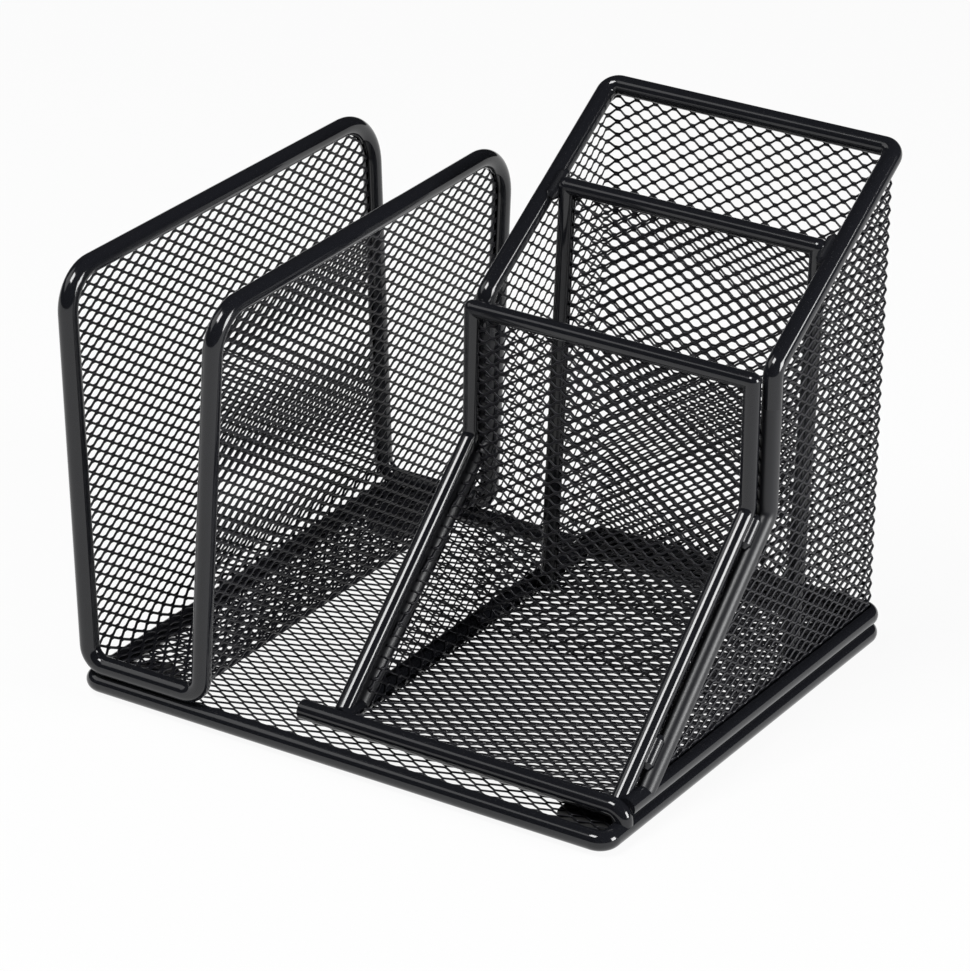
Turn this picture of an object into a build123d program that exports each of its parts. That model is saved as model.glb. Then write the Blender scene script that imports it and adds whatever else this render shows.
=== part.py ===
"""Desk organizer of expanded-metal mesh with rolled wire rims: a splayed letter rack on the left, a
stepped three-part pen holder on the right, both welded on one rimmed mesh base.

Millimetres, +Z up, front towards -Y. The model is drawn from the base's front left corner on the
table, and every node is moved by `placed` so that the origin is the middle of the footprint.
Each mesh panel is a plain thin sheet here, bent and trimmed as the real one, with its edges seated
in grooves of the rims.
"""

from build123d import *
import os
from math import atan2, cos, radians, sin, tan

# ---------------------------------------------------------------- driving dimensions
rim_d = 5.5             # rolled rim round every mesh panel
frame_d = 4.8           # wire of the tray frame and of the middle divider
sheet_t = 0.8           # mesh panels
seat = 0.6              # a panel's edge stops this short of its rim's centre line

base_width = 170.0
base_depth = 151.0
base_corner_r = 3.5     # at the rim's centre line
foot_gap = 1.0          # the rim's underside stands this far above the table
pad_d = 17.0
pad_inset = 14.3        # pad centre from the base's outer edges

letter_floor_right_x = 39.6
letter_height = 122.6   # centre line of the top rims
letter_splay_left = 5.05    # the left panel's top leans out over the base's edge
letter_splay_right = 6.1    # the right panel's top at the front
letter_splay_back = 3.4     # and at the back: that panel is sprung slightly out of flat
letter_front_r = 11.0
letter_back_r = 15.0
letter_bend_r = 5.5     # floor to panel
letter_joint = 9.0      # the panels' rims turn in and meet the floor bars here

pen_left_x = 77.9       # centre plane of the left wall
pen_back_z = 148.7
pen_front_y = 84.0      # upright front edges of the side walls
pen_top_slope = 32.6    # degrees, side rims from the back down to the front
pen_knee_z = 65.7
pen_tray_slope = 42.6   # degrees, side rims from the knee down to the floor
pen_corner_r = 3.4
pen_bend_r = 5.0
pen_joint_z = 97.0      # the top rim meets the front rims here

bar_y = 12.0
bar_left_x = 66.5       # cut square, clear of the left wall
bar_bend_r = 3.5        # right end, turned down on the base's rim

frame_left_x = 77.2     # tray frame: just outside the left wall, inside the right one
frame_right_x = 164.0
frame_top_z = 105.3

divider_left_x = 83.8
divider_right_x = 162.0
divider_top_y = 116.3
divider_foot_y = 110.0
divider_top_z = 129.9

# ---------------------------------------------------------------- derived places
rim_r = rim_d / 2
frame_r = frame_d / 2
base_z = foot_gap + rim_r
floor_z = base_z + rim_d            # second tier of rims lies on the base's rim
floor_top = floor_z + sheet_t / 2
front_y = rim_r
back_y = base_depth - rim_r
left_x = rim_r
right_x = base_width - rim_r

top_angle = radians(pen_top_slope)
tray_angle = radians(pen_tray_slope)
pen_front_z = pen_back_z - (back_y - pen_front_y) * tan(top_angle)
pen_foot_y = pen_front_y - (pen_knee_z - floor_z) / tan(tray_angle)

overhang = letter_splay_left + rim_r - left_x
placed = Pos(-(base_width - overhang) / 2, -base_depth / 2, 0)


def rod(points, radii, diameter):
    """Round wire along straight runs with one bend radius per corner."""
    path = FilletPolyline(*points, radius=radii) if radii else Line(*points)
    section = Plane(origin=path @ 0, z_dir=path % 0) * Circle(diameter / 2)
    return sweep(section, path=path)


def arch(legs, corners):
    """Two legs of wire and the bar between their tops, with each sharp corner welded and rounded."""
    joined = rod(corners, [], frame_d)
    for leg, corner in zip(legs, corners):
        joined += [leg, Pos(*corner) * Sphere(frame_r)]
    return joined


def side_prism(outline, x_from, x_to):
    """A face drawn in Y and Z, extruded along X."""
    return extrude(Pos(x_from, 0, 0) * outline, amount=x_to - x_from, dir=(1, 0, 0))


def flat_sheet(x_from, x_to, y_from, y_to, z):
    """A level panel, centred on height z."""
    middle = Pos((x_from + x_to) / 2, (y_from + y_to) / 2, z)
    return middle * Box(x_to - x_from, y_to - y_from, sheet_t)


def standing_box(x_size, y_size, z_size):
    """A box centred in plan, with its underside on the origin."""
    return Box(x_size, y_size, z_size, align=(Align.CENTER, Align.CENTER, Align.MIN))


def above_pen_floor():
    """All the space over the pen holder's floor panel, for trimming what stands on it."""
    return Pos(0, 0, floor_top) * standing_box(4 * base_width, 4 * base_depth, 2 * pen_back_z)


def upright_edges(solid, y_min):
    """Edges along Z behind y_min, where a level panel's back corners are rounded."""
    return solid.edges().filter_by(Axis.Z).filter_by(lambda e: e.center().Y > y_min)


# ---------------------------------------------------------------- base
def base_ring():
    outline = Rectangle(base_width - rim_d, base_depth - rim_d)
    outline = fillet(outline.vertices(), base_corner_r)
    path = Pos(base_width / 2, base_depth / 2, base_z) * outline.face().outer_wire()
    section = Plane(origin=path @ 0, z_dir=path % 0) * Circle(rim_r)
    return sweep(section, path=path)


def base_sheet():
    sheet = flat_sheet(left_x + seat, right_x - seat, front_y + seat, back_y - seat, base_z)
    return fillet(sheet.edges().filter_by(Axis.Z), base_corner_r - seat)


def foot_pads():
    height = base_z - sheet_t / 2
    pads = []
    for x in (pad_inset, base_width - pad_inset):
        for y in (pad_inset, base_depth - pad_inset):
            pad = Cylinder(pad_d / 2, height, align=(Align.CENTER, Align.CENTER, Align.MIN))
            pads.append(Pos(x, y, 0) * chamfer(pad.edges().group_by(Axis.Z)[0], foot_gap * 0.6))
    return pads


# ---------------------------------------------------------------- letter rack
def letter_splay(side, y):
    """How far a panel's top leans out, at this depth."""
    if side < 0:
        return letter_splay_left
    share = (y - front_y) / (back_y - front_y)
    return letter_splay_right + (letter_splay_back - letter_splay_right) * share


def letter_top(side, y):
    corner_x = left_x if side < 0 else letter_floor_right_x
    return (corner_x + side * letter_splay(side, y), y, letter_height)


def letter_foot(side, y, inward=0.0):
    """Corner between floor and panel, or a point `inward` of it along the floor."""
    corner_x = left_x if side < 0 else letter_floor_right_x
    return (corner_x - side * inward, y, floor_z)


def letter_panel_rod(side):
    """A panel's rim, turned in at both feet to meet the bars across the floor."""
    points = [
        letter_foot(side, front_y, letter_joint),
        letter_foot(side, front_y),
        letter_top(side, front_y),
        letter_top(side, back_y),
        letter_foot(side, back_y),
        letter_foot(side, back_y, letter_joint),
    ]
    return rod(points, [letter_bend_r, letter_front_r, letter_back_r, letter_bend_r], rim_d)


def letter_floor_rod(y):
    return rod([letter_foot(-1, y, letter_joint), letter_foot(1, y, letter_joint)], [], rim_d)


def letter_section(y):
    """The U that floor and panels make, cut across at this depth."""
    corners = [letter_top(-1, y), letter_foot(-1, y), letter_foot(1, y), letter_top(1, y)]
    path = FilletPolyline(*corners, radius=letter_bend_r)
    return make_face(offset(path, amount=sheet_t / 2, kind=Kind.INTERSECTION, side=Side.BOTH).edges())


def letter_sheet():
    front = front_y + seat
    back = back_y - seat
    bent = loft([letter_section(front), letter_section(back)], ruled=True)
    top_z = letter_height - seat
    side = Plane.YZ * Pos((front + back) / 2, top_z / 2) * Rectangle(back - front, top_z)
    front_top = side.vertices().group_by(Axis.Z)[-1].sort_by(Axis.Y)[0]
    side = fillet(front_top, letter_front_r - seat)
    back_top = side.vertices().group_by(Axis.Y)[-1].sort_by(Axis.Z)[-1]
    side = fillet(back_top, letter_back_r - seat)
    return bent & side_prism(side, -base_width, base_width)


# ---------------------------------------------------------------- pen holder
def pen_side_outline():
    """Side wall between the centre lines of its rims, in Y and Z, open at the back."""
    front = FilletPolyline(
        (0, pen_foot_y, floor_z),
        (0, pen_front_y, pen_knee_z),
        (0, pen_front_y, pen_front_z),
        (0, back_y, pen_back_z),
        radius=[pen_bend_r, pen_bend_r],
    )
    past_back = back_y + rim_d
    past_top = pen_back_z + rim_d * tan(top_angle)
    rest = Polyline(
        (0, back_y, pen_back_z),
        (0, past_back, past_top),
        (0, past_back, floor_z),
        (0, pen_foot_y, floor_z),
    )
    return make_face(front.edges() + rest.edges())


def pen_wall_sheet():
    plan = FilletPolyline(
        (pen_left_x, 0, floor_z),
        (pen_left_x, back_y, floor_z),
        (right_x, back_y, floor_z),
        (right_x, 0, floor_z),
        radius=pen_corner_r - seat,
    )
    height = pen_back_z
    start = Plane(origin=plan @ 0 + Vector(0, 0, height / 2), x_dir=(0, 0, 1), z_dir=plan % 0)
    wrapped = sweep(start * Rectangle(height, sheet_t), path=Pos(0, 0, height / 2) * plan)
    trimmed = offset(pen_side_outline(), amount=-seat)
    return wrapped & side_prism(trimmed, 0, base_width + rim_d)


def pen_floor_sheet():
    sheet = flat_sheet(pen_left_x + seat, right_x - seat, bar_y + seat, back_y - seat, floor_z)
    return fillet(upright_edges(sheet, back_y - pen_corner_r), pen_corner_r - 2 * seat)


def pen_bottom_rod():
    front_end = bar_y + rim_r / 2
    points = [
        (pen_left_x, front_end, floor_z),
        (pen_left_x, back_y, floor_z),
        (right_x, back_y, floor_z),
        (right_x, front_end, floor_z),
    ]
    return rod(points, [pen_corner_r] * 2, rim_d)


def pen_top_rod():
    points = [
        (pen_left_x, pen_front_y, pen_joint_z),
        (pen_left_x, pen_front_y, pen_front_z),
        (pen_left_x, back_y, pen_back_z),
        (right_x, back_y, pen_back_z),
        (right_x, pen_front_y, pen_front_z),
        (right_x, pen_front_y, pen_joint_z),
    ]
    radii = [pen_bend_r, pen_corner_r, pen_corner_r, pen_bend_r]
    return rod(points, radii, rim_d)


def floor_side(x):
    """The straight side of the bottom rim, which a front rim's foot is cut to fit."""
    return rod([(x, 0, floor_z), (x, back_y / 2, floor_z)], [], rim_d)


def pen_front_rod(x):
    points = [
        (x, pen_front_y, pen_joint_z),
        (x, pen_front_y, pen_knee_z),
        (x, pen_foot_y, floor_z),
    ]
    return rod(points, [pen_bend_r], rim_d)


# ---------------------------------------------------------------- front bar and tray frame
def bar_rod():
    points = [
        (bar_left_x, bar_y, floor_z),
        (right_x, bar_y, floor_z),
        (right_x, bar_y, base_z + rim_r / 2),
    ]
    return rod(points, [bar_bend_r], rim_d)


# The frame's wire lies on the front of the left wall's rim; on the right it stands inside the rim.
frame_setback = rim_r + frame_r
frame_y = pen_front_y - frame_setback
frame_knee_z = pen_knee_z + frame_setback * (1 / cos(tray_angle) - tan(tray_angle))


def frame_foot(x):
    """A point on the leg's centre line below the floor, past which the leg is trimmed."""
    drop = frame_knee_z - base_z
    return (x, frame_y - drop / tan(tray_angle), base_z)


def frame_leg(x):
    points = [frame_foot(x), (x, frame_y, frame_knee_z), (x, frame_y, frame_top_z)]
    return rod(points, [pen_bend_r], frame_d)


def frame_rod():
    legs = [frame_leg(x) for x in (frame_left_x, frame_right_x)]
    corners = [(x, frame_y, frame_top_z) for x in (frame_left_x, frame_right_x)]
    return arch(legs, corners) & above_pen_floor()


def front_divider_sheet():
    """Hangs from the frame's top bar, and reaches wall to wall below the frame's knees."""
    clear = seat + sheet_t / 2
    shoulder_z = frame_knee_z - rim_r
    frame_width = frame_right_x - frame_left_x - 2 * seat
    upper = standing_box(frame_width, sheet_t, frame_top_z - seat - shoulder_z)
    lower = standing_box(right_x - pen_left_x - 2 * clear, sheet_t, shoulder_z - floor_top)
    upper_place = Pos((frame_left_x + frame_right_x) / 2, frame_y, shoulder_z)
    lower_place = Pos((pen_left_x + right_x) / 2, frame_y, floor_top)
    return upper_place * upper + lower_place * lower


# ---------------------------------------------------------------- middle divider
divider_lean = atan2(divider_top_y - divider_foot_y, divider_top_z - floor_top)
divider_length = (divider_top_z - floor_top) / cos(divider_lean)


def divider_point(x, up):
    return (x, divider_foot_y + up * sin(divider_lean), floor_top + up * cos(divider_lean))


def divider_rod():
    sides = (divider_left_x, divider_right_x)
    legs = [
        rod([divider_point(x, -frame_d), divider_point(x, divider_length)], [], frame_d)
        for x in sides
    ]
    corners = [divider_point(x, divider_length) for x in sides]
    return arch(legs, corners) & above_pen_floor()


def divider_sheet():
    middle_x = (divider_left_x + divider_right_x) / 2
    width = divider_right_x - divider_left_x - 2 * seat
    height = divider_length - seat
    plane = Plane(
        origin=divider_point(middle_x, height / 2),
        x_dir=(1, 0, 0),
        z_dir=(0, -cos(divider_lean), sin(divider_lean)),
    )
    return extrude(plane * Rectangle(width, height), amount=sheet_t / 2, both=True) & above_pen_floor()


# ---------------------------------------------------------------- welds
weld_r = 1.8
weld_sink = 0.8            # the bead's centre stands this far out of the line between the wires
weld_length = 10.0
weld_ups = (10.5, 76.0)    # along the tray slope from the foot: near the foot, below the knee


def bead(middle, direction):
    """A weld bead: a short bar with tapered ends, laid along a crevice."""
    bar = Cylinder(weld_r, weld_length)
    ends = bar.edges().filter_by(GeomType.CIRCLE)
    return Plane(origin=middle, z_dir=direction) * chamfer(ends, weld_r * 0.8, weld_r * 0.5)


def tray_weld(side, up):
    """Bead in the outer crevice between a wall's front rim and the tray frame, `up` the slope."""
    rim_x, frame_x = (pen_left_x, frame_left_x) if side < 0 else (right_x, frame_right_x)
    uphill = Vector(0, cos(tray_angle), sin(tray_angle))
    outward = Vector(0, -sin(tray_angle), cos(tray_angle))
    on_rim = Vector(rim_x, pen_foot_y, floor_z) + uphill * up
    to_frame = outward * frame_setback + Vector(frame_x - rim_x, 0, 0)
    between = to_frame.normalized() * (to_frame.length + rim_r - frame_r) / 2
    away = to_frame.cross(uphill).normalized() * -side
    weld = bead(on_rim + between + away * weld_sink, uphill)
    for centre, radius in ((on_rim, rim_r), (on_rim + to_frame, frame_r)):
        weld -= Plane(origin=centre, z_dir=uphill) * Cylinder(radius, 2 * weld_length)
    return weld.solids().sort_by(SortBy.VOLUME)[-1]


def divider_weld(divider_x, rim_x):
    """Bead between a shoulder of the divider and the side rim next to it."""
    along_rim = Vector(0, cos(top_angle), sin(top_angle))
    rim_z = pen_back_z - (back_y - divider_top_y) * tan(top_angle)
    return bead(Vector((divider_x + rim_x) / 2, divider_top_y, rim_z + rim_r / 2), along_rim)


# ---------------------------------------------------------------- assembly
base_ring_rod = base_ring()
base_mesh = base_sheet()
letter_mesh = letter_sheet()
wall_mesh = pen_wall_sheet()
floor_mesh = pen_floor_sheet()
front_divider = front_divider_sheet()
middle_divider = divider_sheet()

bottom_rod = pen_bottom_rod()
top_rod = pen_top_rod()
front_rods = {x: pen_front_rod(x) - floor_side(x) for x in (pen_left_x, right_x)}
front_bar = bar_rod() - base_ring_rod
tray_rod = frame_rod()
middle_rod = divider_rod()

tray_welds = [tray_weld(side, up) - front_divider for side in (-1, 1) for up in weld_ups]
divider_sides = ((divider_left_x, pen_left_x), (divider_right_x, right_x))
divider_welds = [divider_weld(*pair) - top_rod - middle_rod - wall_mesh for pair in divider_sides]

nodes = {
    "base_rim": base_ring_rod - base_mesh,
    "base_mesh": base_mesh,
    "foot_pads": foot_pads(),
    "letter_mesh": letter_mesh,
    "letter_left_rim": letter_panel_rod(-1) - letter_mesh,
    "letter_right_rim": letter_panel_rod(1) - letter_mesh,
    "letter_front_floor_rim": letter_floor_rod(front_y) - letter_mesh,
    "letter_back_floor_rim": letter_floor_rod(back_y) - letter_mesh,
    "pen_wall_mesh": wall_mesh,
    "pen_floor_mesh": floor_mesh,
    "pen_top_rim": top_rod - wall_mesh,
    "pen_left_front_rim": front_rods[pen_left_x] - wall_mesh - front_divider,
    "pen_right_front_rim": front_rods[right_x] - wall_mesh - front_divider,
    "pen_bottom_rim": bottom_rod - wall_mesh - floor_mesh - front_divider - bar_rod(),
    "front_bar": front_bar - floor_mesh,
    "tray_frame": tray_rod - front_divider - bar_rod() - bottom_rod,
    "front_divider_mesh": front_divider,
    "middle_divider_rim": middle_rod - middle_divider,
    "middle_divider_mesh": middle_divider,
    "tray_welds": tray_welds,
    "divider_welds": divider_welds,
}

os.makedirs("parts", exist_ok=True)
for name, shape in nodes.items():
    shapes = shape if isinstance(shape, list) else [shape]
    solids = [solid for one in shapes for solid in one.solids()]
    moved = [placed * solid for solid in solids]
    node = moved[0] if len(moved) == 1 else Compound(children=moved)
    export_step(node, f"parts/{name}.step")
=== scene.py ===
from math import cos, pi, radians, sin, sqrt, tan

import bpy
from bpy.props import FloatProperty, FloatVectorProperty, PointerProperty
from mathutils import Matrix, Vector
from mathutils.geometry import intersect_point_line


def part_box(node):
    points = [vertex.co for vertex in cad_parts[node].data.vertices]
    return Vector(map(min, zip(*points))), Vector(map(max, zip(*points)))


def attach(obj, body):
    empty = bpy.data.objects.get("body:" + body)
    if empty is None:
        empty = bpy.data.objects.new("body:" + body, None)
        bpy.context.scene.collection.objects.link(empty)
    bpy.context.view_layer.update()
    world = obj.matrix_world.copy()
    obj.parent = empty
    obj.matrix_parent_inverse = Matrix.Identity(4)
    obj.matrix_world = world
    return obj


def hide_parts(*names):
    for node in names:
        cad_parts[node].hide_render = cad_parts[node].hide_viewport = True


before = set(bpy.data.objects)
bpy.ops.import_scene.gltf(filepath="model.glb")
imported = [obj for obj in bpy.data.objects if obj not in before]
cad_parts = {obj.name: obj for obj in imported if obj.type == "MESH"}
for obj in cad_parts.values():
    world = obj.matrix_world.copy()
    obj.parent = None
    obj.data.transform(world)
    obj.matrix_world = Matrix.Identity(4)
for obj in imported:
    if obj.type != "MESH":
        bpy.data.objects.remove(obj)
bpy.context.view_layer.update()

bl_info = {
    "name": "Desk Organizer Looks",
    "version": (1, 0, 0),
    "blender": (4, 5, 0),
    "location": "View3D > Sidebar > Organizer",
    "description": "Expanded-metal panels, paint and studio for a wire-mesh desk organizer",
    "category": "Object",
}

MM = 0.001
RIGHT_ANGLE = pi / 2
ON_PLANE = 1e-7             # a vertex this near a cutting plane counts as on it
SAME_PLACE = 1e-6           # array copies' vertices this near each other are merged
SPARE_COPIES = 3            # a lattice is drawn larger than its panel, and then cut
ARC_STEPS = 14              # straight pieces in one bend of a panel
ROOM_LIGHT = 0.35           # the world's strength for everything but the camera
BACKDROP_GLOW = 0.93        # share of plain white in the floor that the camera sees
FLOOR_SIZE = 12.0
LAMP_AIM = (0, 0, 0.06)     # about the object's middle


# ---------------------------------------------------------------- settings
def length(name, description, millimetres):
    """A length property, its default given in millimetres."""
    return FloatProperty(
        name=name, description=description, default=millimetres * MM,
        subtype="DISTANCE", unit="LENGTH", precision=5)


def angle(name, description, degrees):
    """An angle property, its default given in degrees."""
    return FloatProperty(
        name=name, description=description, default=radians(degrees),
        subtype="ANGLE", unit="ROTATION")


class ExpandedMetal:
    """One slit and stretched sheet; this is the pen holder's, and the others differ a little."""

    long_pitch: length("Long pitch", "Knot to knot along the long way of the diamonds", 5.97)
    short_pitch: length("Short pitch", "Knot to knot along the short way of the diamonds", 3.88)
    strand_width: length("Strand width", "Width of one strand between two slits", 0.66)
    strand_thickness: length("Strand thickness", "Sheet thickness with its paint", 0.43)
    knot_length: length("Knot length", "Length of the joint between two strands", 1.35)
    strand_tilt: angle("Strand tilt", "How far stretching turns the strands out of the sheet", 21)


class PenSheetSettings(ExpandedMetal, bpy.types.PropertyGroup):
    """Walls and dividers of the pen holder"""


class RackSheetSettings(ExpandedMetal, bpy.types.PropertyGroup):
    """Letter rack, whose sheet is rolled nearly flat"""

    long_pitch: length("Long pitch", "Knot to knot along the long way of the diamonds", 6.05)
    short_pitch: length("Short pitch", "Knot to knot along the short way of the diamonds", 3.74)
    strand_width: length("Strand width", "Width of one strand between two slits", 0.78)
    strand_thickness: length("Strand thickness", "Sheet thickness with its paint", 0.4)
    strand_tilt: angle("Strand tilt", "How far stretching turns the strands out of the sheet", 6)


class BaseSheetSettings(ExpandedMetal, bpy.types.PropertyGroup):
    """Base, whose sheet is stretched furthest"""

    short_pitch: length("Short pitch", "Knot to knot along the short way of the diamonds", 4.12)
    strand_width: length("Strand width", "Width of one strand between two slits", 0.55)
    strand_thickness: length("Strand thickness", "Sheet thickness with its paint", 0.45)
    knot_length: length("Knot length", "Length of the joint between two strands", 0.5)
    strand_tilt: angle("Strand tilt", "How far stretching turns the strands out of the sheet", 60)


class PenFloorSheetSettings(ExpandedMetal, bpy.types.PropertyGroup):
    """Floor of the pen holder"""

    short_pitch: length("Short pitch", "Knot to knot along the short way of the diamonds", 4.1)
    strand_width: length("Strand width", "Width of one strand between two slits", 0.75)
    strand_thickness: length("Strand thickness", "Sheet thickness with its paint", 0.45)
    strand_tilt: angle("Strand tilt", "How far stretching turns the strands out of the sheet", -5)


class RimSettings(bpy.types.PropertyGroup):
    """How the panels sit in their rims"""

    rim_diameter: length("Rim diameter", "Rolled rim round the base, rack and pen holder", 5.5)
    wire_diameter: length("Wire diameter", "Tray frame and middle divider", 4.8)
    seat: length("Seat", "A panel's edge stops this short of its rim's centre line", 0.6)
    lap: length("Lap", "The pen holder's wall laps this far past its lower rims' centre line", 2.5)


class RackSettings(bpy.types.PropertyGroup):
    """Shape of the letter rack's bent panel"""

    splay_left: length("Left splay", "The left panel's top leans out by this much", 5.05)
    splay_right: length("Right splay", "The right panel's top leans out so at the front", 6.1)
    splay_back: length("Right splay at the back", "And so at the back", 3.4)
    bend_radius: length("Bend radius", "Floor to panel, at the sheet's middle", 5.5)
    front_radius: length("Front corner radius", "Top front corners of the panels", 11)
    back_radius: length("Back corner radius", "Top back corners of the panels", 15)


class PenHolderSettings(bpy.types.PropertyGroup):
    """Angles and radii of the pen holder's panels"""

    top_slope: angle("Top slope", "Fall of the side walls' top rims towards the front", 32.6)
    tray_slope: angle("Tray slope", "Fall of the side walls from the knee to the floor", 42.6)
    knee_height: length("Knee height", "Where the upright front edges meet the tray slope", 65.7)
    joint_height: length("Joint height", "The wall stops lapping its upright front rims here", 92)
    corner_radius: length("Corner radius", "Back corners of the wall, in plan", 3.4)
    divider_lean: angle("Divider lean", "The middle divider leans back by this much", 3)


class PaintSettings(bpy.types.PropertyGroup):
    """Colours of the paint and the rubber"""

    rim_colour: FloatVectorProperty(
        name="Rim paint", description="Gloss paint on rims and wires",
        default=(0.009, 0.0095, 0.012), size=3, min=0, max=1, subtype="COLOR")
    mesh_colour: FloatVectorProperty(
        name="Mesh paint", description="Paint on the expanded metal",
        default=(0.008, 0.009, 0.011), size=3, min=0, max=1, subtype="COLOR")
    rubber_colour: FloatVectorProperty(
        name="Pad rubber", description="Rubber of the feet",
        default=(0.02, 0.02, 0.021), size=3, min=0, max=1, subtype="COLOR")


class StudioSettings(bpy.types.PropertyGroup):
    """Camera, lamps and floor"""

    azimuth: FloatProperty(
        name="Azimuth",
        description="Camera direction round the object, from the front to its right",
        default=radians(32.07), subtype="ANGLE", unit="ROTATION")
    elevation: FloatProperty(
        name="Elevation", description="Camera direction above the horizon",
        default=radians(25.22), subtype="ANGLE", unit="ROTATION")
    roll: FloatProperty(
        name="Roll", description="Camera turned about its own axis",
        default=radians(0.73), subtype="ANGLE", unit="ROTATION")
    distance: FloatProperty(
        name="Distance", description="Camera to the point it aims at",
        default=1324.5 * MM, subtype="DISTANCE", unit="LENGTH")
    aim: FloatVectorProperty(
        name="Aim", description="Point the camera looks at",
        default=(2.5 * MM, -0.5 * MM, 60 * MM), size=3, subtype="XYZ", unit="LENGTH")
    shift: FloatVectorProperty(
        name="Shift", description="Lens shift across and up, as shares of the frame's width",
        default=(-0.0026804, -0.0142268), size=2)
    lens: FloatProperty(
        name="Lens", description="Focal length on a 36 mm wide sensor, in millimetres",
        default=180.15, min=10)
    backdrop_colour: FloatVectorProperty(
        name="Backdrop", description="Floor and background",
        default=(0.85, 0.85, 0.85), size=3, min=0, max=1, subtype="COLOR")
    lamp_power: FloatProperty(
        name="Lamp power", description="Power of the main softbox",
        default=12.0, min=0, unit="POWER")


# ---------------------------------------------------------------- modelling helpers
def make_active(piece):
    """Leaves this one object selected and active."""
    bpy.ops.object.select_all(action="DESELECT")
    piece.select_set(True)
    bpy.context.view_layer.objects.active = piece


def apply_modifier(piece, kind, **settings):
    """Adds a modifier, sets it and applies it."""
    modifier = piece.modifiers.new(kind.title(), kind)
    for key, value in settings.items():
        setattr(modifier, key, value)
    make_active(piece)
    bpy.ops.object.modifier_apply(modifier=modifier.name)


def bake_place(piece):
    """Moves an object's place, turn and scale into its mesh."""
    make_active(piece)
    bpy.ops.object.transform_apply(location=True, rotation=True, scale=True)


def select_faces(piece, wanted):
    """Edit mode's selection: the faces whose centre and normal pass the test."""
    bpy.ops.object.mode_set(mode="EDIT")
    bpy.ops.mesh.select_mode(type="FACE")
    bpy.ops.mesh.select_all(action="DESELECT")
    bpy.ops.object.mode_set(mode="OBJECT")
    for face in piece.data.polygons:
        face.select = wanted(face.center, face.normal)
    bpy.ops.object.mode_set(mode="EDIT")


def cap_ends(piece):
    """Closes the strands' cut ends, each by itself because neighbouring strands overlap."""
    make_active(piece)
    bpy.ops.object.mode_set(mode="EDIT")
    bpy.ops.mesh.select_mode(type="EDGE")
    bpy.ops.mesh.select_all(action="DESELECT")
    bpy.ops.mesh.select_non_manifold(
        extend=False, use_wire=False, use_boundary=True, use_multi_face=False,
        use_non_contiguous=False, use_verts=False)
    bpy.ops.mesh.fill_holes(sides=0)
    bpy.ops.object.mode_set(mode="OBJECT")


def cut(piece, point, normal, wanted=None):
    """Cuts away what lies beyond a plane, on its normal's side, and caps what it cuts open.

    A test of the faces limits the cut to a part of the piece. It takes or leaves all the sides of
    a strand where the plane crosses it, or the strand can't be capped.
    """
    make_active(piece)
    if wanted is None:
        bpy.ops.object.mode_set(mode="EDIT")
        bpy.ops.mesh.select_all(action="SELECT")
    else:
        select_faces(piece, wanted)
    bpy.ops.mesh.bisect(
        plane_co=point, plane_no=normal, use_fill=False, clear_outer=True, threshold=ON_PLANE)
    bpy.ops.object.mode_set(mode="OBJECT")
    cap_ends(piece)


def strand(sheet, name):
    """One long-pitch of a zigzag strand along X, in the XY plane, with open ends.

    The strand's flat is tilted about X by the stretching. It climbs from one row of knots to the
    next, and dips through the sheet by as much as its tilted width stands out of it.
    """
    width = sheet.strand_width
    tilt = sheet.strand_tilt
    row = sheet.short_pitch / 2
    knot_overlap = 0.92             # neighbouring strands share the rest of their width
    climb = row - width * cos(tilt) * knot_overlap
    dip = width * sin(tilt) * knot_overlap
    half_knot = sheet.knot_length / 2
    half_pitch = sheet.long_pitch / 2
    eased = 0.9                     # the flat of a knot is slightly bowed
    stations = [
        (-half_knot, -eased),
        (0, -1),
        (half_knot, -eased),
        (half_pitch - half_knot, eased),
        (half_pitch, 1),
        (half_pitch + half_knot, eased),
        (sheet.long_pitch - half_knot, -eased),
    ]
    path = [Vector((x, side * climb / 2, -side * dip / 2)) for x, side in stations]
    bpy.ops.object.select_all(action="DESELECT")
    bpy.ops.mesh.primitive_plane_add(size=1.0, rotation=(0, RIGHT_ANGLE, 0))
    piece = bpy.context.active_object
    piece.name = name
    bake_place(piece)
    bpy.ops.object.mode_set(mode="EDIT")
    bpy.ops.mesh.select_all(action="SELECT")
    bpy.ops.transform.resize(value=(1, width, sheet.strand_thickness))
    bpy.ops.transform.rotate(value=-tilt, orient_axis="X", center_override=(0, 0, 0))
    bpy.ops.transform.translate(value=path[0])
    for before, after in zip(path, path[1:]):
        bpy.ops.mesh.extrude_region_move(TRANSFORM_OT_translate={"value": after - before})
    bpy.ops.mesh.select_all(action="SELECT")
    bpy.ops.mesh.normals_make_consistent(inside=False)
    bpy.ops.object.mode_set(mode="OBJECT")
    faces_along_x = 0.999
    select_faces(piece, lambda centre, normal: abs(normal.x) > faces_along_x)
    bpy.ops.mesh.delete(type="ONLY_FACE")
    bpy.ops.object.mode_set(mode="OBJECT")
    return piece


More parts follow.
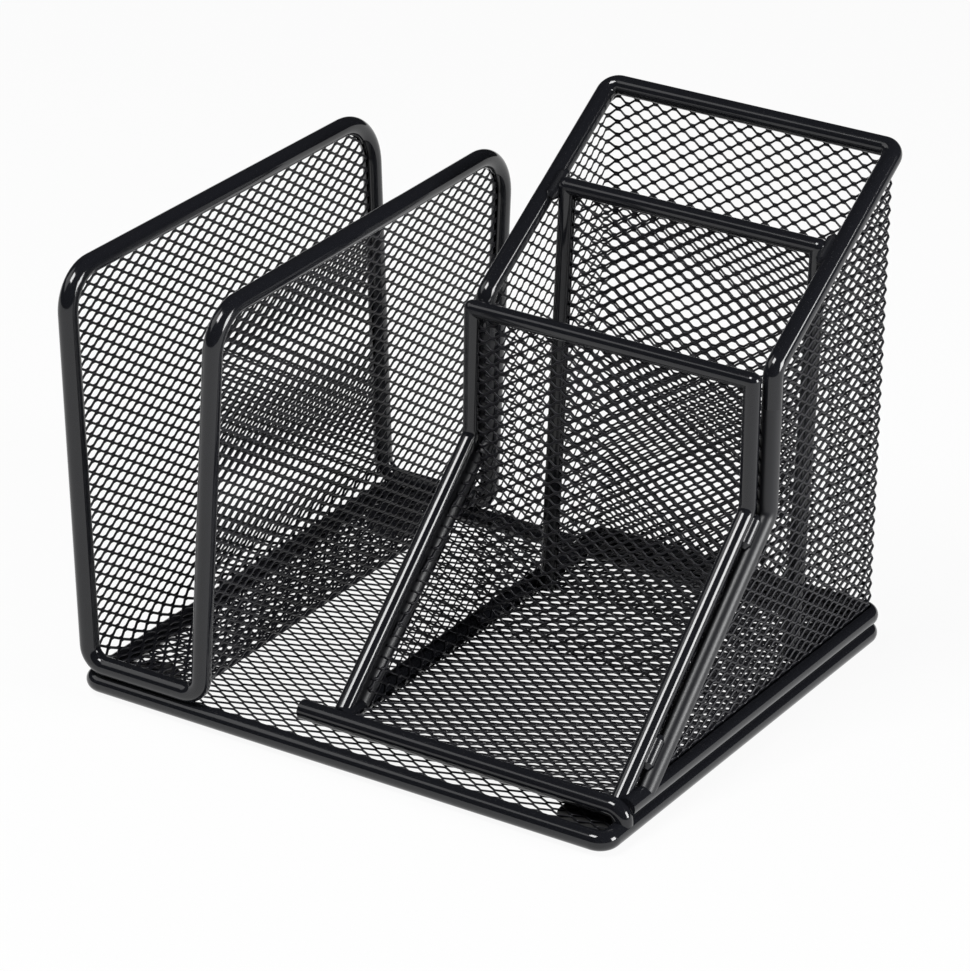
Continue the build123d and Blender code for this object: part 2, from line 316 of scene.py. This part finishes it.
def lattice(sheet, width, height, name):
    """Expanded metal in the XY plane from the origin to width by height, rows along X."""
    piece = strand(sheet, name)
    columns = int(width / sheet.long_pitch) + SPARE_COPIES
    rows = int(height / sheet.short_pitch) + SPARE_COPIES
    apply_modifier(
        piece, "ARRAY", count=columns, use_relative_offset=False, use_constant_offset=True,
        constant_offset_displace=(sheet.long_pitch, 0, 0), use_merge_vertices=True,
        merge_threshold=SAME_PLACE)
    apply_modifier(
        piece, "ARRAY", count=2, use_relative_offset=False, use_constant_offset=True,
        constant_offset_displace=(sheet.long_pitch / 2, sheet.short_pitch / 2, 0))
    apply_modifier(
        piece, "ARRAY", count=rows, use_relative_offset=False, use_constant_offset=True,
        constant_offset_displace=(0, sheet.short_pitch, 0))
    move(piece, x=-sheet.long_pitch, y=-sheet.short_pitch)
    cut(piece, (0, 0, 0), (-1, 0, 0))
    cut(piece, (width, 0, 0), (1, 0, 0))
    cut(piece, (0, 0, 0), (0, -1, 0))
    cut(piece, (0, height, 0), (0, 1, 0))
    return piece


def turn(piece, x=0, z=0):
    """Turns a piece about the origin, first about Z and then about X."""
    piece.rotation_euler = (x, 0, z)
    bake_place(piece)


def move(piece, x=0, y=0, z=0):
    """Shifts a piece's mesh, and leaves its object at the origin."""
    piece.location = (x, y, z)
    bake_place(piece)


def stand_up(piece, lean=0):
    """Turns a flat piece so that its height runs up, leaning back."""
    turn(piece, x=RIGHT_ANGLE - lean)


def trim_corner(piece, corner, out, radius):
    """Takes a panel's corner off at 45 degrees, where its rim rounds it; `out` points outwards."""
    inset = radius * (2 - 2 ** 0.5)
    cut(piece, (corner[0] - out[0] * inset, corner[1], 0), (*out, 0))


def drape_over(piece, rods, radius):
    """Lifts a flat sheet over rods that lie behind it, each given as its centre line's two ends."""
    for vertex in piece.data.vertices:
        lift = 0
        for start, end in rods:
            share = intersect_point_line(vertex.co, start, end)[1]
            nearest = start.lerp(end, min(max(share, 0), 1))
            away = (vertex.co - nearest).xy.length
            if away < radius:
                lift = max(lift, sqrt(radius ** 2 - away ** 2))
        vertex.co.z += lift


def bent_path(points, radius, name):
    """A curve in the XY plane, with an arc at each inner corner, and how long it is."""
    route = [Vector(points[0])]
    for before, corner, after in zip(points, points[1:], points[2:]):
        corner = Vector(corner)
        to_before = (Vector(before) - corner).normalized()
        to_after = (Vector(after) - corner).normalized()
        half = to_before.angle(to_after) / 2
        centre = corner + (to_before + to_after).normalized() * radius / sin(half)
        start = corner + to_before * radius / tan(half) - centre
        end = corner + to_after * radius / tan(half) - centre
        sweep = start.angle(end)
        for step in range(ARC_STEPS + 1):
            part = step / ARC_STEPS
            arm = (start * sin((1 - part) * sweep) + end * sin(part * sweep)) / sin(sweep)
            route.append(centre + arm)
    route.append(Vector(points[-1]))
    data = bpy.data.curves.new(name, "CURVE")
    data.dimensions = "3D"
    data.twist_mode = "Z_UP"
    spline = data.splines.new("POLY")
    spline.points.add(len(route) - 1)
    for point, place in zip(spline.points, route):
        point.co = (place.x, place.y, 0, 1)
    path = bpy.data.objects.new(name, data)
    bpy.context.scene.collection.objects.link(path)
    return path, sum((b - a).length for a, b in zip(route, route[1:]))


def bend_along(piece, path):
    """Wraps a standing piece, drawn along X, round a curve, which is then removed."""
    apply_modifier(piece, "CURVE", object=path, deform_axis="POS_X")
    data = path.data
    bpy.data.objects.remove(path)
    bpy.data.curves.remove(data)


def finish_mesh(piece, node):
    """Shades a panel, paints it and puts it in the frame in place of its plain sheet."""
    make_active(piece)
    bpy.ops.object.shade_smooth()
    bpy.ops.object.select_all(action="DESELECT")
    piece.data.materials.append(mesh_paint())
    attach(piece, "root")
    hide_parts(node)


# ---------------------------------------------------------------- materials
def socket(group, name, kind, direction, default=None):
    """One named socket of a node group."""
    made = group.interface.new_socket(name=name, in_out=direction, socket_type=kind)
    if default is not None:
        made.default_value = default
    return made


def coat_group():
    """Sprayed paint: orange peel, uneven gloss and settled dust, as one node group."""
    name = "sprayed_coat"
    if name in bpy.data.node_groups:
        return bpy.data.node_groups[name]
    group = bpy.data.node_groups.new(name, "ShaderNodeTree")
    socket(group, "Paint", "NodeSocketColor", "INPUT", (0.01, 0.01, 0.012, 1))
    socket(group, "Dust Colour", "NodeSocketColor", "INPUT", (0.35, 0.34, 0.32, 1))
    socket(group, "Dust Amount", "NodeSocketFloat", "INPUT", 0.05)
    socket(group, "Gloss Roughness", "NodeSocketFloat", "INPUT", 0.2)
    socket(group, "Roughness Spread", "NodeSocketFloat", "INPUT", 0.08)
    socket(group, "Peel Scale", "NodeSocketFloat", "INPUT", 900.0)
    socket(group, "Peel Strength", "NodeSocketFloat", "INPUT", 0.15)
    socket(group, "Color", "NodeSocketColor", "OUTPUT")
    socket(group, "Roughness", "NodeSocketFloat", "OUTPUT")
    socket(group, "Normal", "NodeSocketVector", "OUTPUT")
    nodes, links = group.nodes, group.links
    given = nodes.new("NodeGroupInput")
    result = nodes.new("NodeGroupOutput")
    place = nodes.new("ShaderNodeTexCoord")

    peel = nodes.new("ShaderNodeTexNoise")
    peel.inputs["Detail"].default_value = 2.0
    links.new(place.outputs["Object"], peel.inputs["Vector"])
    links.new(given.outputs["Peel Scale"], peel.inputs["Scale"])
    bump = nodes.new("ShaderNodeBump")
    bump.inputs["Distance"].default_value = 0.05 * MM
    links.new(given.outputs["Peel Strength"], bump.inputs["Strength"])
    links.new(peel.outputs["Fac"], bump.inputs["Height"])
    links.new(bump.outputs["Normal"], result.inputs["Normal"])

    patches = nodes.new("ShaderNodeTexNoise")
    patches.inputs["Scale"].default_value = 60.0
    patches.inputs["Detail"].default_value = 3.0
    links.new(place.outputs["Object"], patches.inputs["Vector"])
    centred = nodes.new("ShaderNodeMath")
    centred.operation = "SUBTRACT"
    centred.inputs[1].default_value = 0.5
    links.new(patches.outputs["Fac"], centred.inputs[0])
    spread = nodes.new("ShaderNodeMath")
    spread.operation = "MULTIPLY_ADD"
    links.new(centred.outputs[0], spread.inputs[0])
    links.new(given.outputs["Roughness Spread"], spread.inputs[1])
    links.new(given.outputs["Gloss Roughness"], spread.inputs[2])
    links.new(spread.outputs[0], result.inputs["Roughness"])

    specks = nodes.new("ShaderNodeTexNoise")
    specks.inputs["Scale"].default_value = 2400.0
    specks.inputs["Detail"].default_value = 1.0
    links.new(place.outputs["Object"], specks.inputs["Vector"])
    picked = nodes.new("ShaderNodeMapRange")
    picked.inputs["From Min"].default_value = 0.66
    picked.inputs["From Max"].default_value = 0.74
    links.new(specks.outputs["Fac"], picked.inputs["Value"])
    geometry = nodes.new("ShaderNodeNewGeometry")
    facing = nodes.new("ShaderNodeSeparateXYZ")
    links.new(geometry.outputs["Normal"], facing.inputs["Vector"])
    upward = nodes.new("ShaderNodeMapRange")
    upward.inputs["From Min"].default_value = 0.2
    links.new(facing.outputs["Z"], upward.inputs["Value"])
    settled = nodes.new("ShaderNodeMath")
    settled.operation = "MULTIPLY"
    links.new(picked.outputs["Result"], settled.inputs[0])
    links.new(upward.outputs["Result"], settled.inputs[1])
    thin = nodes.new("ShaderNodeMath")
    thin.operation = "MULTIPLY"
    links.new(settled.outputs[0], thin.inputs[0])
    links.new(given.outputs["Dust Amount"], thin.inputs[1])
    blend = nodes.new("ShaderNodeMix")
    blend.data_type = "RGBA"
    links.new(thin.outputs[0], blend.inputs["Factor"])
    links.new(given.outputs["Paint"], blend.inputs["A"])
    links.new(given.outputs["Dust Colour"], blend.inputs["B"])
    links.new(blend.outputs["Result"], result.inputs["Color"])
    return group


def coated(name, colour, roughness, spread, peel_scale, peel_strength, dust):
    """A painted material from the shared coat group."""
    if name in bpy.data.materials:
        return bpy.data.materials[name]
    material = bpy.data.materials.new(name)
    material.use_nodes = True
    nodes, links = material.node_tree.nodes, material.node_tree.links
    shader = nodes["Principled BSDF"]
    coat = nodes.new("ShaderNodeGroup")
    coat.node_tree = coat_group()
    coat.inputs["Paint"].default_value = (*colour, 1)
    coat.inputs["Dust Amount"].default_value = dust
    coat.inputs["Gloss Roughness"].default_value = roughness
    coat.inputs["Roughness Spread"].default_value = spread
    coat.inputs["Peel Scale"].default_value = peel_scale
    coat.inputs["Peel Strength"].default_value = peel_strength
    links.new(coat.outputs["Color"], shader.inputs["Base Color"])
    links.new(coat.outputs["Roughness"], shader.inputs["Roughness"])
    links.new(coat.outputs["Normal"], shader.inputs["Normal"])
    return material


def rim_paint():
    """Gloss paint on the rolled rims and wires."""
    colour = bpy.context.scene.organizer_paint.rim_colour
    return coated(
        "rim_paint", colour, roughness=0.1, spread=0.06, peel_scale=700.0, peel_strength=0.08,
        dust=0.05)


def satin_rim_paint():
    """The same paint, duller, on the pen holder's front rims."""
    colour = bpy.context.scene.organizer_paint.rim_colour
    return coated(
        "satin_rim_paint", colour, roughness=0.4, spread=0.08, peel_scale=700.0,
        peel_strength=0.08, dust=0.05)


def weld_paint():
    """The same paint, thicker and lumpier over the weld beads."""
    colour = bpy.context.scene.organizer_paint.rim_colour
    return coated(
        "weld_paint", colour, roughness=0.24, spread=0.1, peel_scale=500.0, peel_strength=0.4,
        dust=0.05)


def mesh_paint():
    """Paint on the strands of the expanded metal."""
    colour = bpy.context.scene.organizer_paint.mesh_colour
    return coated(
        "mesh_paint", colour, roughness=0.22, spread=0.1, peel_scale=1500.0, peel_strength=0.1,
        dust=0.04)


def pad_rubber():
    """Matte moulded rubber."""
    colour = bpy.context.scene.organizer_paint.rubber_colour
    return coated(
        "pad_rubber", colour, roughness=0.75, spread=0.1, peel_scale=2500.0, peel_strength=0.5,
        dust=0.3)


def repaint(node, material):
    """Gives a CAD node its material."""
    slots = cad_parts[node].data.materials
    slots.clear()
    slots.append(material)


# ---------------------------------------------------------------- pieces
def flat_panel(sheet, node, name):
    """Expanded metal that fills a level sheet's outline."""
    low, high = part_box(node)
    piece = lattice(sheet, high.x - low.x, high.y - low.y, name)
    move(piece, low.x, low.y, (low.z + high.z) / 2)
    finish_mesh(piece, node)


class ORGANIZER_OT_base_mesh(bpy.types.Operator):
    """Expanded metal across the base"""

    bl_idname = "organizer.base_mesh"
    bl_label = "Base Mesh"

    def execute(self, context):
        sheet = context.scene.organizer_base_sheet
        flat_panel(sheet, "base_mesh", "base_expanded_metal")
        return {"FINISHED"}


class ORGANIZER_OT_pen_floor_mesh(bpy.types.Operator):
    """Expanded metal floor of the pen holder"""

    bl_idname = "organizer.pen_floor_mesh"
    bl_label = "Pen Holder Floor"

    def execute(self, context):
        sheet = context.scene.organizer_pen_floor_sheet
        flat_panel(sheet, "pen_floor_mesh", "pen_floor_expanded_metal")
        return {"FINISHED"}


def spring_back(piece, low, high, amount):
    """Twists the right half of what fills this box: its top back corner moves in by this much."""
    bpy.ops.object.select_all(action="DESELECT")
    clearance = 1.01                # the cage is this much larger than the piece
    size = (high - low) * clearance
    bpy.ops.object.add(type="LATTICE", location=(low + high) / 2)
    cage = bpy.context.active_object
    cage.scale = size
    cage.data.points_u, cage.data.points_v, cage.data.points_w = 3, 2, 2
    cage.data.interpolation_type_u = "KEY_LINEAR"
    cage.data.interpolation_type_v = "KEY_LINEAR"
    cage.data.interpolation_type_w = "KEY_LINEAR"
    for point in cage.data.points:
        if min(point.co) > 0.1:
            point.co_deform.x -= amount / size.x
    apply_modifier(piece, "LATTICE", object=cage)
    data = cage.data
    bpy.data.objects.remove(cage)
    bpy.data.lattices.remove(data)


class ORGANIZER_OT_letter_mesh(bpy.types.Operator):
    """U-shaped expanded metal of the letter rack"""

    bl_idname = "organizer.letter_mesh"
    bl_label = "Letter Rack Mesh"

    def execute(self, context):
        rack = context.scene.organizer_rack
        rims = context.scene.organizer_rims
        rim_r = rims.rim_diameter / 2
        low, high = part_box("letter_mesh")
        floor_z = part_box("letter_front_floor_rim")[0].z + rim_r
        left_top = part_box("letter_left_rim")[0].x + rim_r
        right_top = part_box("letter_right_rim")[1].x - rim_r
        corners = [
            (left_top, high.z, 0),
            (left_top + rack.splay_left, floor_z, 0),
            (right_top - rack.splay_right, floor_z, 0),
            (right_top, high.z, 0),
        ]
        path, run = bent_path(corners, rack.bend_radius, "letter_profile")
        depth = high.y - low.y
        sheet = context.scene.organizer_rack_sheet
        piece = lattice(sheet, depth, run, "letter_expanded_metal")
        for across, up in ((0, -1), (run, 1)):
            trim_corner(piece, (0, across), (-1, up), rack.front_radius - rims.seat)
            trim_corner(piece, (depth, across), (1, up), rack.back_radius - rims.seat)
        move(piece, x=low.y)
        turn(piece, z=-RIGHT_ANGLE)
        stand_up(piece)
        bend_along(piece, path)
        stand_up(piece)
        spring_back(piece, low, high, rack.splay_right - rack.splay_back)
        finish_mesh(piece, "letter_mesh")
        return {"FINISHED"}


class ORGANIZER_OT_pen_wall_mesh(bpy.types.Operator):
    """Expanded metal wrapped round the left, back and right of the pen holder"""

    bl_idname = "organizer.pen_wall_mesh"
    bl_label = "Pen Holder Wall"

    def execute(self, context):
        pens = context.scene.organizer_pens
        rims = context.scene.organizer_rims
        rim_r = rims.rim_diameter / 2
        low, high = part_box("pen_wall_mesh")
        rim_low, rim_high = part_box("pen_top_rim")
        left, right = rim_low.x + rim_r, rim_high.x - rim_r
        front = rim_low.y + rim_r
        back = rim_high.y - rim_r
        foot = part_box("pen_bottom_rim")[0].z + rim_r
        corners = [(left, low.y, 0), (left, back, 0), (right, back, 0), (right, low.y, 0)]
        radius = pens.corner_radius - rims.seat
        path, run = bent_path(corners, radius, "pen_wall_plan")
        sheet = context.scene.organizer_pen_sheet
        bottom = foot - rims.lap
        piece = lattice(sheet, run, high.z - bottom, "pen_wall_expanded_metal")
        knee = pens.knee_height + rims.lap * tan((RIGHT_ANGLE - pens.tray_slope) / 2) - bottom
        corner_run = back - low.y - (2 - pi / 2) * radius / 2
        rods = [(Vector((0, foot - bottom, 0)), Vector((run, foot - bottom, 0)))]
        for edge, out in ((0, -1), (run, 1)):
            top = (edge - out * corner_run, high.z - bottom, 0)
            cut(piece, top, (out * sin(pens.top_slope), cos(pens.top_slope), 0))
            turn_at = (edge - out * (front - rims.lap - low.y), knee, 0)
            cut(piece, turn_at, (out, 0, 0), lambda centre, normal: centre.y > knee)
            cut(piece, turn_at, (out * sin(pens.tray_slope), cos(pens.tray_slope), 0),
                lambda centre, normal: centre.y <= knee and (centre.x - run / 2) * out > 0)
            rod_x = edge - out * (front - low.y)
            rod_knee = Vector((rod_x, pens.knee_height - bottom, 0))
            rod_joint = Vector((rod_x, pens.joint_height - bottom, 0))
            rod_foot = Vector((edge, rod_knee.y - (front - low.y) * tan(pens.tray_slope), 0))
            rods += [(rod_foot, rod_knee), (rod_knee, rod_joint)]
        drape_over(piece, rods, rim_r + sheet.strand_thickness / 2)
        stand_up(piece)
        bend_along(piece, path)
        move(piece, z=bottom)
        finish_mesh(piece, "pen_wall_mesh")
        return {"FINISHED"}


class ORGANIZER_OT_front_divider_mesh(bpy.types.Operator):
    """Expanded metal in the tray frame, wall to wall below the frame's knees"""

    bl_idname = "organizer.front_divider_mesh"
    bl_label = "Front Divider Mesh"

    def execute(self, context):
        rims = context.scene.organizer_rims
        low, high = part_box("front_divider_mesh")
        frame_low, frame_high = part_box("tray_frame")
        wire_edge = rims.wire_diameter / 2 + rims.seat
        wall_low, wall_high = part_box("pen_wall_mesh")
        knee = context.scene.organizer_pens.knee_height - low.z
        sheet = context.scene.organizer_pen_sheet
        piece = lattice(
            sheet, high.x - low.x, high.z - low.z, "front_divider_expanded_metal")
        upper_right = frame_high.x - wire_edge - low.x
        lower_left = wall_low.x + (wall_high.x - high.x) - low.x
        shoulder = knee + sheet.strand_width    # clear of the strand that crosses the knee
        cut(piece, (upper_right, 0, 0), (1, 0, 0), lambda centre, normal: centre.y > shoulder)
        cut(piece, (lower_left, 0, 0), (-1, 0, 0), lambda centre, normal: centre.y <= shoulder)
        stand_up(piece)
        move(piece, low.x, (low.y + high.y) / 2, low.z)
        finish_mesh(piece, "front_divider_mesh")
        return {"FINISHED"}


class ORGANIZER_OT_middle_divider_mesh(bpy.types.Operator):
    """Expanded metal in the leaning middle divider"""

    bl_idname = "organizer.middle_divider_mesh"
    bl_label = "Middle Divider Mesh"

    def execute(self, context):
        lean = context.scene.organizer_pens.divider_lean
        low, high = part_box("middle_divider_mesh")
        sheet = context.scene.organizer_pen_sheet
        height = (high.z - low.z) / cos(lean)
        piece = lattice(sheet, high.x - low.x, height, "middle_divider_expanded_metal")
        stand_up(piece, lean)
        foot_y = (low.y + high.y - (high.z - low.z) * tan(lean)) / 2
        move(piece, low.x, foot_y, low.z)
        finish_mesh(piece, "middle_divider_mesh")
        return {"FINISHED"}


class ORGANIZER_OT_finishes(bpy.types.Operator):
    """Paint on rims, wires and welds, and rubber on the pads"""

    bl_idname = "organizer.finishes"
    bl_label = "Finishes"

    def execute(self, context):
        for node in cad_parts:
            if node.endswith("_front_rim") and node.startswith("pen_"):
                repaint(node, satin_rim_paint())
            elif node.endswith(("_rim", "_bar", "_frame")):
                repaint(node, rim_paint())
            elif node.endswith("_welds"):
                repaint(node, weld_paint())
            elif node.endswith("_pads"):
                repaint(node, pad_rubber())
        return {"FINISHED"}


class ORGANIZER_OT_stage(bpy.types.Operator):
    """Floor, lamps, world and camera"""

    bl_idname = "organizer.stage"
    bl_label = "Stage"

    def execute(self, context):
        add_floor()
        add_lamps()
        add_world()
        add_camera()
        return {"FINISHED"}


def backdrop_material():
    """Pale floor that the camera and reflections see as white, with a soft shadow kept."""
    material = bpy.data.materials.new("backdrop")
    material.use_nodes = True
    nodes, links = material.node_tree.nodes, material.node_tree.links
    nodes.clear()
    output = nodes.new("ShaderNodeOutputMaterial")
    matte = nodes.new("ShaderNodeBsdfDiffuse")
    matte.inputs["Color"].default_value = (*bpy.context.scene.organizer_studio.backdrop_colour, 1)
    glow = nodes.new("ShaderNodeEmission")
    glow.inputs["Strength"].default_value = 1.0
    seen = nodes.new("ShaderNodeLightPath")
    either = nodes.new("ShaderNodeMath")
    either.operation = "MAXIMUM"
    links.new(seen.outputs["Is Camera Ray"], either.inputs[0])
    links.new(seen.outputs["Is Glossy Ray"], either.inputs[1])
    share = nodes.new("ShaderNodeMath")
    share.operation = "MULTIPLY"
    share.inputs[1].default_value = BACKDROP_GLOW
    links.new(either.outputs[0], share.inputs[0])
    mix = nodes.new("ShaderNodeMixShader")
    links.new(share.outputs[0], mix.inputs["Fac"])
    links.new(matte.outputs[0], mix.inputs[1])
    links.new(glow.outputs[0], mix.inputs[2])
    links.new(mix.outputs[0], output.inputs["Surface"])
    return material


def add_floor():
    """A wide level floor on z = 0."""
    bpy.ops.object.select_all(action="DESELECT")
    bpy.ops.mesh.primitive_plane_add(size=FLOOR_SIZE)
    floor = bpy.context.active_object
    floor.name = "studio_floor"
    floor.data.materials.append(backdrop_material())


def add_softbox(name, place, size, power):
    """A rectangular area lamp that faces the object's middle."""
    bpy.ops.object.light_add(type="AREA", location=place)
    lamp = bpy.context.active_object
    lamp.name = name
    lamp.data.shape = "RECTANGLE"
    lamp.data.size, lamp.data.size_y = size
    lamp.data.energy = power
    lamp.rotation_euler = (Vector(LAMP_AIM) - Vector(place)).to_track_quat("-Z", "Y").to_euler()


def add_lamps():
    """A softbox overhead, one low on the right and a weak one on the left."""
    power = bpy.context.scene.organizer_studio.lamp_power
    add_softbox("top_softbox", (-0.16, -0.55, 1.2), (0.5, 0.42), power)
    add_softbox("right_softbox", (1.24, 0.2, 0.4), (0.5, 0.55), power * 1.3)
    add_softbox("left_softbox", (-0.95, -0.5, 1.0), (1.0, 0.8), power * 0.3)


def add_world():
    """White to the camera and dimmer for everything else."""
    world = bpy.data.worlds.new("studio_world")
    bpy.context.scene.world = world
    world.use_nodes = True
    nodes, links = world.node_tree.nodes, world.node_tree.links
    shader = nodes["Background"]
    seen = nodes.new("ShaderNodeLightPath")
    tone = nodes.new("ShaderNodeMapRange")
    tone.inputs["To Min"].default_value = ROOM_LIGHT
    tone.inputs["To Max"].default_value = 1.0
    links.new(seen.outputs["Is Camera Ray"], tone.inputs["Value"])
    links.new(tone.outputs["Result"], shader.inputs["Strength"])


def add_camera():
    """The camera, placed round the point it aims at."""
    studio = bpy.context.scene.organizer_studio
    level = cos(studio.elevation)
    back = Vector((
        sin(studio.azimuth) * level, -cos(studio.azimuth) * level, sin(studio.elevation)
    ))
    aim = Vector(studio.aim)
    bpy.ops.object.camera_add(location=aim + back * studio.distance)
    camera = bpy.context.active_object
    camera.name = "studio_camera"
    facing = back.to_track_quat("Z", "Y").to_matrix()
    camera.rotation_euler = (facing @ Matrix.Rotation(studio.roll, 3, "Z")).to_euler()
    camera.data.sensor_width = 36.0
    camera.data.sensor_fit = "HORIZONTAL"
    camera.data.lens = studio.lens
    camera.data.shift_x, camera.data.shift_y = studio.shift
    camera.data.clip_end = 20.0
    bpy.context.scene.camera = camera


class ORGANIZER_PT_panel(bpy.types.Panel):
    """Sidebar list of the organizer's pieces"""

    bl_label = "Desk Organizer"
    bl_idname = "ORGANIZER_PT_panel"
    bl_space_type = "VIEW_3D"
    bl_region_type = "UI"
    bl_category = "Organizer"

    def draw(self, context):
        for operator in PIECES:
            self.layout.operator(operator.bl_idname)


PIECES = (
    ORGANIZER_OT_finishes,
    ORGANIZER_OT_base_mesh,
    ORGANIZER_OT_pen_floor_mesh,
    ORGANIZER_OT_letter_mesh,
    ORGANIZER_OT_pen_wall_mesh,
    ORGANIZER_OT_front_divider_mesh,
    ORGANIZER_OT_middle_divider_mesh,
    ORGANIZER_OT_stage,
)
SETTINGS = {
    "organizer_pen_sheet": PenSheetSettings,
    "organizer_rack_sheet": RackSheetSettings,
    "organizer_base_sheet": BaseSheetSettings,
    "organizer_pen_floor_sheet": PenFloorSheetSettings,
    "organizer_rims": RimSettings,
    "organizer_rack": RackSettings,
    "organizer_pens": PenHolderSettings,
    "organizer_paint": PaintSettings,
    "organizer_studio": StudioSettings,
}


def register():
    for kind in (*SETTINGS.values(), *PIECES, ORGANIZER_PT_panel):
        bpy.utils.register_class(kind)
    for name, kind in SETTINGS.items():
        setattr(bpy.types.Scene, name, PointerProperty(type=kind))


def unregister():
    for name in SETTINGS:
        delattr(bpy.types.Scene, name)
    for kind in (ORGANIZER_PT_panel, *reversed(PIECES), *reversed(SETTINGS.values())):
        bpy.utils.unregister_class(kind)


def main():
    """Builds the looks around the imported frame."""
    register()
    bpy.context.scene.view_settings.view_transform = "Standard"
    bpy.ops.organizer.finishes()
    bpy.ops.organizer.base_mesh()
    bpy.ops.organizer.pen_floor_mesh()
    bpy.ops.organizer.letter_mesh()
    bpy.ops.organizer.pen_wall_mesh()
    bpy.ops.organizer.front_divider_mesh()
    bpy.ops.organizer.middle_divider_mesh()
    bpy.ops.organizer.stage()


if __name__ == "__main__":
    main()
